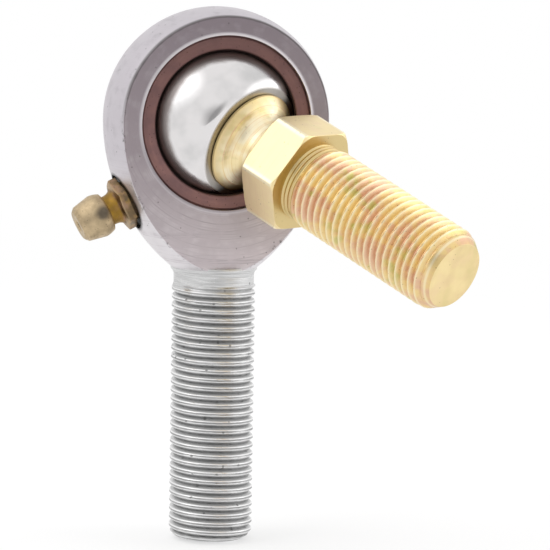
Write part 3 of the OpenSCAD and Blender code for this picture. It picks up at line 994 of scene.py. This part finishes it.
@dataclass
class Eye(Part):
    """The eye of the rod end: crowned rim, flat faces, a lip round the bore and the nipple's seat."""

    NAME, NODE, SLOT = "rod_end_eye", "rod_end_body", "bright_zinc"
    FACE_STEPS = (0, 0.03, 0.2, 0.45, 0.7, 0.9, 0.98, 1)
    RIM_STEPS = (-0.97, -0.9, -0.75, -0.5, -0.25, 0, 0.25, 0.5, 0.75, 0.9, 0.97)
    WALL_STEPS = (0.5, 0, -0.5)
    HALVINGS = 48
    FURTHEST = 1.6
    SEED_STEP = 3.0
    SEAT_COLUMNS = 72
    FACE_SLACK = 0.02
    LIP_SLACK = 0.01
    EDGE_BAND = 0.2
    EDGE_FROM = 0.8

    radius: float = 16.65
    width: float = 11.7
    throat_radius: float = 28.2
    centre: float = 62.5
    collar_radius: float = 6.4
    bore: float = 12.82
    lip_width: float = 0.6
    lip_rise: float = 0.15
    lip_root: float = -0.1
    lip_round: float = 0.04
    lip_top: float = 0.12
    edge: float = 0.07
    nick_depth: Point = (0.7, 1.6)
    nick_scale: float = 0.9
    seat_angle: float = 25.5
    seat_depth: float = 0.9
    seat_radius: float = 4.35
    stem_radius: float = 3.02
    seat_span: Point = (-4.6, 6.0)
    columns: int = 264
    chord: int = 14

    @property
    def half(self) -> float:
        """Half the eye's width."""
        return self.width / 2

    @property
    def throat_x(self) -> float:
        """Distance of the throat's curve centre beyond the axis."""
        return self.throat_radius - self.radius

    @property
    def drop(self) -> float:
        """Depth of the collar below the ball's centre."""
        return math.sqrt(self.throat_radius ** 2 - (self.throat_x + self.collar_radius) ** 2)

    @property
    def front(self) -> Matrix:
        """The bore's frame in the part's frame, in millimetres."""
        return Matrix.Translation((0, 0, self.centre)) @ Matrix.Rotation(math.pi / 2, 4, "X")

    @property
    def nipple_place(self) -> Matrix:
        """The nipple's frame in the part's frame, in millimetres."""
        turn = Matrix.Rotation(math.radians(-90 - self.seat_angle), 4, "Y")
        out = Matrix.Translation((0, 0, self.throat_radius))
        return Matrix.Translation((self.throat_x, 0, self.centre)) @ turn @ out

    def reach(self, angle: float, depth: float) -> float:
        """Finds the rim's distance from the bore's axis.

        Args:
            angle: Direction about the bore, from the right.
            depth: Distance from the middle of the eye's width.

        Returns:
            The distance in millimetres.
        """
        if math.sin(angle) >= 0:
            return math.sqrt(self.radius ** 2 - depth ** 2)
        low, high = self.collar_radius, self.FURTHEST * self.radius
        for _ in range(self.HALVINGS):
            middle = (low + high) / 2
            x, z = middle * math.cos(angle), middle * math.sin(angle)
            inside = abs(z) < self.throat_radius and (
                math.hypot(x, depth) + self.throat_x < math.sqrt(self.throat_radius ** 2 - z * z))
            low, high = (middle, high) if inside else (low, middle)
        return low

    def rim(self, depth: float) -> list[Vector]:
        """Lists the outline of the eye at a depth across its width, from the collar's right over the top.

        Args:
            depth: Distance from the middle of the width.

        Returns:
            Points about the ball's centre, closed along the collar.
        """
        foot = math.sqrt(self.collar_radius ** 2 - depth ** 2)
        start = math.atan2(-self.drop, foot)
        points = [Vector((foot, depth, -self.drop))]
        for i in range(1, self.columns):
            angle = start + (math.pi - 2 * start) * i / self.columns
            away = self.reach(angle, depth)
            points.append(Vector((away * math.cos(angle), depth, away * math.sin(angle))))
        points.append(Vector((-foot, depth, -self.drop)))
        return points + [points[-1].lerp(points[0], i / self.chord) for i in range(1, self.chord)]

    @staticmethod
    def bore_ring(outline: Sequence[Vector], radius: float, depth: float) -> list[Vector]:
        """Lists points on a ring round the bore, in the directions of an outline."""
        return [Vector((p.x, 0.0, p.z)).normalized() * radius + Vector((0.0, depth, 0.0)) for p in outline]

    def nicked(self, outline: Sequence[Vector], seed: float) -> list[Vector]:
        """Draws an outline in by the uneven width of its bevel."""
        least, extra = self.nick_depth
        points = []
        for p in outline:
            rough = noise.noise(Vector((p.x * self.nick_scale, seed, p.z * self.nick_scale)))
            width = self.edge * (least + extra * max(0.0, rough))
            points.append(p - Vector((p.x, 0, p.z)).normalized() * width)
        return points

    def sketch(self) -> Sketch:
        """Builds the eye about the ball's centre, with its Y axis through the bore."""
        made = Sketch()
        half, rise = self.half, self.lip_rise
        lips = ((0.0, self.lip_root), (0.0, rise - self.lip_round), (self.lip_round, rise),
                (self.lip_top, rise))
        sides = []
        for side in (-1, 1):
            outline = self.rim(side * half)
            inner = self.nicked(outline, self.SEED_STEP * side)
            mouth = self.bore_ring(outline, self.bore + self.lip_width, side * half)
            face = [[m.lerp(o, t) for m, o in zip(mouth, inner)] for t in self.FACE_STEPS]
            lip = [self.bore_ring(outline, self.bore + out, side * (half + up)) for out, up in lips]
            sides.append([made.ring(points) for points in (*lip, *face)])
        depths = [self.edge - half, *(half * t for t in self.RIM_STEPS), half - self.edge]
        rows = [made.ring(self.rim(d)) for d in depths]
        wall = [made.ring(self.bore_ring(self.rim(0.0), self.bore, d * half)) for d in self.WALL_STEPS]
        made.bridge([*sides[0], *rows, *reversed(sides[1]), *wall], closed=True)
        return made

    def seat(self) -> Sketch:
        """Builds the cutter for the nipple's flat seat and hole, in the nipple's frame."""
        (low, high), step = self.seat_span, -self.seat_depth
        rows = [(0, low), (self.stem_radius, low), (self.stem_radius, step), (self.seat_radius, step),
                (self.seat_radius, high), (0, high)]
        return Sketch().turn(rows, even_columns(self.SEAT_COLUMNS))

    def on_face(self, p: Vector) -> bool:
        """Tells whether a point of the bore's frame is on a flat face."""
        away = math.hypot(p.x, p.y)
        return (abs(abs(p.z) - self.half) < self.FACE_SLACK
                and away > self.bore + self.lip_width - self.LIP_SLACK)

    def on_edge(self, p: Vector) -> bool:
        """Tells whether a point of the bore's frame is on the edge between rim and face."""
        away = math.hypot(p.x, p.y)
        return (self.half - self.EDGE_BAND < abs(p.z) and away > self.bore + self.EDGE_FROM
                and self.reach(math.atan2(p.y, p.x), self.half) - away < self.EDGE_BAND)

    def work(self, obj: bpy.types.Object) -> None:
        """Turns the eye into the bore's frame, cuts the nipple's seat, and marks the faces and edges."""
        obj.data.transform(Matrix.Rotation(-math.pi / 2, 4, "X"))
        cutter = link("seat_cutter", self.seat().mesh("seat_cutter"))
        cutter.data.transform(self.front.inverted() @ self.nipple_place)
        cut = obj.modifiers.new("seat", "BOOLEAN")
        cut.operation, cut.solver, cut.object = "DIFFERENCE", "EXACT", cutter
        bake(obj)
        bpy.data.objects.remove(cutter)
        for name, found in (("face", self.on_face), ("edge", self.on_edge)):
            store = obj.data.attributes.new(name, "FLOAT", "POINT")
            store.data.foreach_set("value", [float(found(vertex.co)) for vertex in obj.data.vertices])


@dataclass
class Shank(ThreadedPart):
    """The threaded shank: rounded end, rolled thread, neck, fillet and collar."""

    NAME, NODE, SLOT, SHARP = "rod_end_shank", "rod_end_body", "bright_zinc", 60.0

    thread: Thread = Thread(pitch=1.27, depth=0.68, radius=6.25, start=0.02, end=38.9, hand=Hand.LEFT,
                            crown=1.7, run_out=1.9, seam=0.13, per_turn=22)
    round_end: float = 2.0
    neck_radius: float = 5.95
    neck_low: float = 38.25
    neck_step: float = 0.3
    fillet: float = 1.2
    fillet_z: float = 39.51
    collar_radius: float = 6.4
    top: float = 41.05
    bevel: float = 0.05
    columns: int = 128

    def outline(self) -> list[Point]:
        """Lists the half outline, with rows close enough for the thread."""
        r, neck, collar = self.thread.radius, self.neck_radius, self.collar_radius
        flat = r - self.round_end
        low, high = self.round_end, self.neck_low - self.neck_step
        sweep = math.degrees(math.acos((neck + self.fillet - collar) / self.fillet))
        points = [(0.0, 0.0), *line((flat * 0.4, 0.0), (flat, 0.0), 6)]
        points += arc((flat, self.round_end), self.round_end, -90, 0, 44)[1:]
        points += line((r, low), (r, high), self.thread.rows(low, high))[1:]
        points += line((r, high), (neck, self.neck_low), 5)[1:]
        points += line((neck, self.neck_low), (neck, self.fillet_z), 16)[1:]
        points += arc((neck + self.fillet, self.fillet_z), self.fillet, 180, 180 - sweep, 8)[1:]
        return points + [(collar, self.top - self.bevel), (collar - self.bevel, self.top), (0.0, self.top)]

    def sketch(self) -> Sketch:
        """Turns the blank."""
        return Sketch().turn(self.outline(), even_columns(self.columns))


@dataclass
class Race(Part):
    """The race pressed into the eye, with its spherical seat and grease groove."""

    NAME, NODE, SLOT = "race_ring", "race_insert", "race_bronze"

    radius: float = 12.8
    width: float = 11.1
    cup: float = 11.75
    chamfer: float = 0.35
    outer_chamfer: float = 0.3
    groove_width: float = 3.0
    groove_depth: float = 0.5
    columns: int = 160

    def sketch(self) -> Sketch:
        """Turns the race about the bore's axis."""
        half, side, c, r = self.width / 2, self.groove_width / 2, self.outer_chamfer, self.radius
        mouth = math.degrees(math.asin((half - self.chamfer) / self.cup))
        lip = self.cup * math.cos(math.radians(mouth)) + self.chamfer
        groove = r - self.groove_depth
        rows = [*line((lip, half), (r - c, half), 6), (r, half - c), (r, side), (groove, side),
                (groove, -side), (r, -side), (r, c - half), *line((r - c, -half), (lip, -half), 6),
                *arc((0.0, 0.0), self.cup, -mouth, mouth, 40)]
        return Sketch().turn(rows, even_columns(self.columns), closed=True)


@dataclass
class Ball(Part):
    """The chromed ball with flats, rolled over at their edges, and a hole for the stud."""

    NAME, NODE, SLOT, BODY, SHARP = "chrome_ball", "ball", "hard_chrome", Body.BALL, 20.0

    radius: float = 11.7
    width: float = 14.6
    flat: float = 8.593
    brim: float = 6.2
    bore: float = 4.7
    countersink: float = 1.5
    edge: float = 0.08
    columns: int = 192

    def sketch(self) -> Sketch:
        """Turns the ball about the stud's axis; an arc tangent to the sphere meets each flat's edge."""
        half, edge = self.width / 2, self.edge
        brim = math.degrees(math.asin(self.brim / self.radius))
        sphere = arc((0.0, 0.0), self.radius, brim, -brim, 96)
        out, up = sphere[0]
        across, rise = self.flat - out, half - up
        bend = -(across ** 2 + rise ** 2) * self.radius / (2 * (across * out + rise * up))
        hub = (out * (1 - bend / self.radius), up * (1 - bend / self.radius))
        turn = math.degrees(math.atan2(half - hub[1], self.flat - hub[0]))
        roll = arc(hub, bend, turn, brim, 10)[:-1]
        sunk = self.bore + self.countersink
        rows = [(self.bore, half - edge), (self.bore + edge, half),
                *line((self.bore + 2 * edge, half), (self.flat - edge, half), 5), *roll, *sphere,
                *((r, -z) for r, z in reversed(roll)), (self.flat - edge, -half), (sunk + edge, -half),
                (sunk, -half), (self.bore, self.countersink - half)]
        return Sketch().turn(rows, even_columns(self.columns), closed=True)


@dataclass
class Stud(ThreadedPart):
    """The ball stud: riveted tail, flange, half-round neck, hexagon and thread."""

    NAME, NODE, SLOT, BODY, SHARP = "ball_stud", "stud", "yellow_zinc", Body.STUD, 28.0
    SIDE_STEPS = (1.2, 2.4, 3.9, 5.1)
    CHAMFER_ANGLE = 30.0

    thread: Thread = Thread(pitch=1.27, depth=0.72, radius=6.25, start=20.458, end=49.55, hand=Hand.RIGHT,
                            crest=0.05, root=0.86, run_in=2.6, per_turn=24)
    tail: float = -7.3
    spigot: float = 4.67
    countersink: float = 1.5
    flange_low: float = 7.4
    flange_top: float = 7.95
    flange_radius: float = 7.674
    bevel: float = 0.1
    shoulder: Point = (6.5, 8.7)
    groove_centre: Point = (7.6, 11.329)
    groove_radius: float = 2.85
    hub: float = 7.0
    core: float = 3.0
    hexagon: Hexagon = Hexagon(15.0, 0.25)
    hex_low: float = 13.958
    hex_high: float = 20.458
    hex_bevel: float = 0.06
    land: float = 0.5
    relief: float = 6.0
    relief_width: float = 2.3
    ring_depth: float = 0.22
    ring_pitch: float = 0.683
    sunken: float = 0.3
    end: float = 49.608
    end_chamfer: Point = (1.3, 2.0)
    end_edge: Point = (0.12, 0.02)
    end_ring: float = 0.4
    columns: int = 128

    def spindle(self) -> list[Point]:
        """Lists the half outline of everything but the hexagon."""
        rim, low, top, b, tail = self.flange_radius, self.flange_low, self.flange_top, self.bevel, self.tail
        relief, r, reach = self.relief, self.thread.radius, self.groove_radius
        sunk = self.spigot + self.countersink
        gx, gz = self.groove_centre
        start = math.degrees(math.acos((self.shoulder[0] - gx) / reach))
        finish = math.degrees(math.acos((self.hub - gx) / reach))
        points = [(0.0, tail), *line((1.0, tail), (sunk - b, tail), 5), (sunk, tail + b),
                  (self.spigot, tail + self.countersink), (self.spigot, low), (rim - b, low), (rim, low + b),
                  *line((rim, low + 2 * b), (rim, top - b), 3), *line((rim - b, top), self.shoulder, 8)]
        points += arc((gx, gz), reach, -start, finish - 360, 40)[1:]
        points += [(relief, gz + reach), (relief, self.hex_high - self.sunken)]
        wall = self.hex_high + self.relief_width
        foot = wall - (r - relief)
        for _, z in line((0.0, self.hex_high), (0.0, foot), 40):
            wave = abs(math.sin(math.pi * (z - self.hex_high) / self.ring_pitch))
            points.append((relief - self.ring_depth * wave, z))
        deep, long = self.end_chamfer
        last, tip = self.end - long, r - deep
        points += line((relief, foot), (r, wall), 8)[1:]
        points += line((r, wall), (r, last), self.thread.rows(wall, last))[1:]
        points += line((r, last), (tip, self.end - self.end_edge[1]), 32)[1:]
        face = line((tip - self.end_ring, self.end), (0.0, self.end), 6)
        return points + [(tip - self.end_edge[0], self.end), *face]

    def hexagon_rows(self) -> list[Row]:
        """Lists the rows of the hexagon, turned off at its corners."""
        out, low, high, e = self.hexagon.radius, self.hex_low, self.hex_high, self.hex_bevel
        land = self.hexagon.across / 2 + self.land
        slope = math.tan(math.radians(self.CHAMFER_ANGLE))

        def drop(angle: float) -> float:
            """Returns how far the side starts from the hexagon's end."""
            return max(0.0, out(angle) - land) * slope + e

        return [(0.0, low), (self.core, low), lambda a: (min(out(a) - e, land), low),
                lambda a: (out(a), low + drop(a)),
                *(lambda a, t=t: (out(a), low + t) for t in self.SIDE_STEPS),
                lambda a: (out(a), high - drop(a)), lambda a: (min(out(a) - e, land), high),
                (self.core, high), (0.0, high)]

    def sketch(self) -> Sketch:
        """Turns the spindle and adds the hexagon."""
        made = Sketch().turn(self.spindle(), even_columns(self.columns))
        return made.turn(self.hexagon_rows(), self.hexagon.columns())


@dataclass
class GreaseNipple(Part):
    """The nipple: stem, hexagon, hollow shoulder, neck and barrel-shaped head with a holed tip."""

    NAME, NODE, SLOT, SHARP = "grease_fitting", "grease_nipple", "nipple_zinc", 26.0

    stem: float = 3.0
    stem_low: float = -4.4
    stem_bevel: float = 0.3
    hexagon: Hexagon = Hexagon(7.0, 0.12)
    hex_low: float = -0.4
    hex_high: float = 0.8
    hex_middle: float = 0.5
    hex_slope: float = 16.0
    hex_bevel: float = 0.06
    shoulder: float = 3.1
    shoulder_edge: float = 0.1
    neck: float = 2.25
    neck_low: float = 2.3915
    head_low: float = 2.8415
    head_foot: float = 2.6
    head_edge: Point = (0.02, 0.01)
    head_radius: float = 3.25
    head_round: float = 4.4665
    nose: Point = (2.725, 7.0165)
    tip: Point = (2.2, 7.5415)
    tip_bevel: Point = (0.08, 0.05)
    hole: float = 0.8
    hole_bevel: float = 0.2
    seat: float = 6.5

    def sketch(self) -> Sketch:
        """Turns the nipple in its own frame."""
        out, low, e = self.hexagon.radius, self.hex_low, self.hex_bevel
        c, mouth = self.stem_bevel, self.hole_bevel
        far = self.hexagon.across / math.sqrt(3)
        slope = math.tan(math.radians(self.hex_slope))
        foot = math.degrees(math.asin((self.head_low - self.head_round) / self.head_radius))
        nib, top = self.tip

        def face(radius: float) -> float:
            """Returns the height of the hexagon's sloping outer face."""
            return self.hex_high + (far - radius) * slope

        ledge = self.shoulder + self.shoulder_edge
        rows: list[Row] = [
            (0.0, self.stem_low), (self.stem - c, self.stem_low), (self.stem, self.stem_low + c),
            (self.stem, low), (self.shoulder, low), lambda a: (out(a) - e, low),
            lambda a: (out(a), low + e), lambda a: (out(a), low + self.hex_middle),
            lambda a: (out(a), face(out(a)) - e), lambda a: (out(a) - e, face(out(a) - e)),
            (ledge, face(ledge)),
        ]
        base = face(self.shoulder)
        wide, tall = self.shoulder - self.neck, self.neck_low - base
        hollow = arc((0.0, 0.0), 1.0, 0, 90, 10)
        rows += [(self.shoulder - wide * y, base + tall * (1 - x)) for x, y in hollow]
        under, edge = self.head_edge
        rows += [(self.neck, self.head_low - under), (self.head_foot, self.head_low - edge)]
        rows += arc((0.0, self.head_round), self.head_radius, foot, 0, 14)[1:]
        rows += line((self.head_radius, self.head_round), self.nose, 8)[1:]
        down, inward = self.tip_bevel
        rows += [(nib + down, top - down), (nib - inward, top), (self.hole + mouth, top),
                 (self.hole, top - mouth), (self.hole, self.seat), (0.0, self.seat)]
        return Sketch().turn(rows, self.hexagon.columns())


@dataclass
class RodEnd:
    """The whole bearing, built piece by piece on the frame."""

    VALVE = "valve"
    SPRING = "nipple_spring"
    CHECK_BALL = "nipple_check_ball"

    groups: Groups = field(default_factory=Groups)
    tree: ThreadTree = field(default_factory=ThreadTree)
    eye: Eye = field(default_factory=Eye)
    stud_turn: float = -7.0
    spring_wire: float = 0.3

    @property
    def joints(self) -> dict[str, dict]:
        """The frame's joints by name."""
        return {joint["name"]: joint for joint in frame["joints"]}

    def leaning(self) -> Matrix:
        """Returns the stud's frame at rest, in millimetres, from the frame's joints."""
        tilt, along = self.joints["tilt"], Vector(self.joints["spin"]["axis"])
        lean = math.acos(max(-1.0, min(1.0, -along.y)))
        about = Matrix.Rotation(lean, 4, Vector(tilt["axis"]))
        upright = Matrix.Rotation(math.pi / 2, 4, "X") @ Matrix.Rotation(math.radians(self.stud_turn), 4, "Z")
        return Matrix.Translation(Vector(tilt["pos_m"]) / MM) @ about @ upright

    def build(self) -> None:
        """Makes every visible piece and dresses the two inside the nipple."""
        finishes = (FORGED_ZINC, ROLLED_ZINC, YELLOW_ZINC, CHROME, RACE_BRONZE, OLIVE_ZINC, VALVE_STEEL)
        looks = {finish: finish.material(self.groups) for finish in finishes}
        lean = self.leaning()
        eye = self.eye.build(looks[FORGED_ZINC], self.eye.front)
        Shank(self.tree).build(looks[ROLLED_ZINC], Matrix.Identity(4))
        Race().build(looks[RACE_BRONZE], self.eye.front)
        Ball().build(looks[CHROME], lean)
        Stud(self.tree).build(looks[YELLOW_ZINC], lean)
        GreaseNipple().build(looks[OLIVE_ZINC], self.eye.nipple_place)
        looks[CHROME].node_tree.nodes[CHROME.SEAT_PLACE].object = eye
        for name in (self.CHECK_BALL, self.SPRING):
            slots = frame["nodes"][name].data.materials
            slots.clear()
            slots.append(looks[VALVE_STEEL])
        self.fold_spring()

    def fold_spring(self) -> None:
        """Gives the check spring a mesh of its own."""
        spring, valve = frame["nodes"][self.SPRING], self.joints[self.VALVE]
        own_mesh(spring)


def aim(obj: bpy.types.Object, place: Triple, target: Vector, axis: str) -> None:
    """Moves an object to a place and turns one of its axes to a target."""
    obj.location = place
    obj.rotation_euler = (target - obj.location).to_track_quat(axis, "Y").to_euler()


def sheet(name: str, half: Point, height: float = 0.0) -> bpy.types.Object:
    """Adds a flat rectangle to the scene, from half its width and length."""
    (w, h), z = half, height
    mesh = bpy.data.meshes.new(name)
    mesh.from_pydata([(-w, -h, z), (w, -h, z), (w, h, z), (-w, h, z)], [], [(0, 1, 2, 3)])
    return link(name, mesh)


@dataclass(frozen=True)
class Lamp:
    """A soft area lamp, aimed at the bearing, that lights what is matt; metal shows the cards instead."""

    name: str
    place: Triple
    size: Point
    power: float

    def hang(self, target: Vector) -> None:
        """Hangs the lamp and aims it."""
        data = bpy.data.lights.new(self.name, "AREA")
        data.shape, data.energy = "RECTANGLE", self.power
        data.size, data.size_y = self.size
        obj = link(self.name, data)
        aim(obj, self.place, target, "-Z")
        obj.visible_glossy = False


@dataclass(frozen=True)
class Card:
    """A soft card that only reflections see: a dark or a bright side of the studio."""

    name: str
    place: Triple
    size: Point
    shade: float
    fade: Point = (0.25, 1.0)
    rim: Point = (0.99, 1.0)

    def hang(self, target: Vector) -> None:
        """Hangs the card and turns it to the bearing; it fades to white at its edge."""
        w, h = self.size[0] / 2, self.size[1] / 2
        obj = sheet(self.name, (w, h))
        aim(obj, self.place, target, "Z")
        made = bpy.data.materials.new(self.name)
        n = emptied(made)
        spot = n.value("ShaderNodeTexCoord", output="Object")
        even = n.value("ShaderNodeMapping", {"Vector": spot, "Scale": (1 / w, 1 / h, 1.0)})
        away = n.vector("LENGTH", even, output="Value")
        strength = away.ramp(*self.fade, self.shade, 1.0)
        glow = n.value("ShaderNodeEmission", {"Color": WHITE, "Strength": strength})
        clear = n.value("ShaderNodeBsdfTransparent")
        both = n.value("ShaderNodeMixShader", {0: away.ramp(*self.rim), 1: glow, 2: clear})
        n.add("ShaderNodeOutputMaterial", {0: both})
        obj.data.materials.append(made)
        obj.visible_camera = obj.visible_diffuse = obj.visible_shadow = False


@dataclass
class Studio:
    """Floor, background, lamps, cards and the photograph's camera."""

    lamps: tuple[Lamp, ...] = (
        Lamp("key_left", (-0.547, -0.033, 0.558), (0.6, 0.6), 2.1),
        Lamp("fill_right", (0.62, -0.2, 0.4), (0.5, 0.5), 1.2),
        Lamp("top", (0.0, 0.1, 0.8), (0.7, 0.7), 3.0),
    )
    cards: tuple[Card, ...] = (
        Card("front_card", (-0.12, -0.75, 0.12), (1.0, 0.8), 0.4),
        Card("key_card", (-0.547, -0.033, 0.558), (1.0, 1.0), 1.8),
        Card("fill_card", (0.6, -0.12, 0.2), (0.9, 0.7), 1.9),
    )
    target: Triple = (0.0, 0.0, 0.05)
    world_light: float = 0.55
    floor_half: float = 3.0
    floor_height: float = -0.0002
    floor_colour: Triple = (0.9, 0.9, 0.9)
    floor_clears: Point = (0.08, 0.4)
    floor_mirrored: Point = (0.01, 0.08)
    floor_right: Point = (-0.02, 0.15)
    azimuth: float = -17.013
    elevation: float = 7.642
    roll: float = 0.97
    distance: float = 568.05
    focal_pixels: float = 3857.556
    frame_pixels: int = 550
    sensor: float = 36.0
    clip: Point = (0.01, 20.0)
    aim: Point = (8.678, -22.91)

    def shoot(self, centre: Vector) -> None:
        """Sets up the whole studio about the ball's centre, in metres."""
        for item in (*self.lamps, *self.cards):
            item.hang(Vector(self.target))
        self.background()
        self.floor()
        self.camera(centre)
        bpy.context.scene.view_settings.view_transform = "Standard"

    def background(self) -> None:
        """Makes a surround that is white where it is seen and lights matt surfaces at a lower level."""
        world = bpy.data.worlds.new("studio")
        bpy.context.scene.world = world
        n = emptied(world)
        path = n.named("ShaderNodeLightPath")
        seen = path["Is Camera Ray"] | (path["Is Glossy Ray"] | path["Is Transmission Ray"])
        level = seen.ramp(0.0, 1.0, self.world_light, 1.0, smooth=False)
        glow = n.value("ShaderNodeBackground", {"Color": WHITE, "Strength": level})
        n.add("ShaderNodeOutputWorld", {0: glow})

    def floor(self) -> None:
        """Lays the pale floor that takes the shadow and turns white away from the bearing."""
        obj = sheet("floor", (self.floor_half, self.floor_half), self.floor_height)
        made = bpy.data.materials.new("pale_floor")
        n = emptied(made)
        spot = n.value("ShaderNodeTexCoord", output="Object")
        away = n.vector("LENGTH", spot, output="Value")
        path = n.named("ShaderNodeLightPath")
        seen = path["Is Camera Ray"] * away.ramp(*self.floor_clears, 0.6, 1.0)
        share = seen | path["Is Glossy Ray"] * away.ramp(*self.floor_mirrored, 0.6, 0.97)
        right = spot.split()[0].ramp(*self.floor_right, 1.0, 1.05)
        strength = path["Is Camera Ray"].ramp(0.0, 1.0, right, 1.0)
        matt = n.value("ShaderNodeBsdfDiffuse", {"Color": self.floor_colour})
        glow = n.value("ShaderNodeEmission", {"Color": WHITE, "Strength": strength})
        both = n.value("ShaderNodeMixShader", {0: share, 1: matt, 2: glow})
        n.add("ShaderNodeOutputMaterial", {0: both})
        obj.data.materials.append(made)

    def camera(self, centre: Vector) -> None:
        """Stands the camera where the photograph was taken from."""
        a, e, t = (math.radians(v) for v in (self.azimuth, self.elevation, self.roll))
        back = Vector((math.sin(a) * math.cos(e), -math.cos(a) * math.cos(e), math.sin(e)))
        right = (-back).cross(Vector((0, 0, 1))).normalized()
        up = right.cross(-back)
        right, up = right * math.cos(t) + up * math.sin(t), up * math.cos(t) - right * math.sin(t)
        spot = centre + (right * self.aim[0] + up * self.aim[1] + back * self.distance) * MM
        data = bpy.data.cameras.new("photo_camera")
        data.sensor_width = self.sensor
        data.lens = self.focal_pixels * self.sensor / self.frame_pixels
        data.clip_start, data.clip_end = self.clip
        obj = link("photo_camera", data)
        obj.matrix_world = Matrix.Translation(spot) @ Matrix((right, up, back)).transposed().to_4x4()
        bpy.context.scene.camera = obj


def main() -> None:
    """Builds the bearing and the studio."""
    logging.basicConfig(level=logging.INFO)
    rod_end = RodEnd()
    rod_end.build()
    Studio().shoot(Vector((0.0, 0.0, rod_end.eye.centre * MM)))


if __name__ == "__main__":
    main()
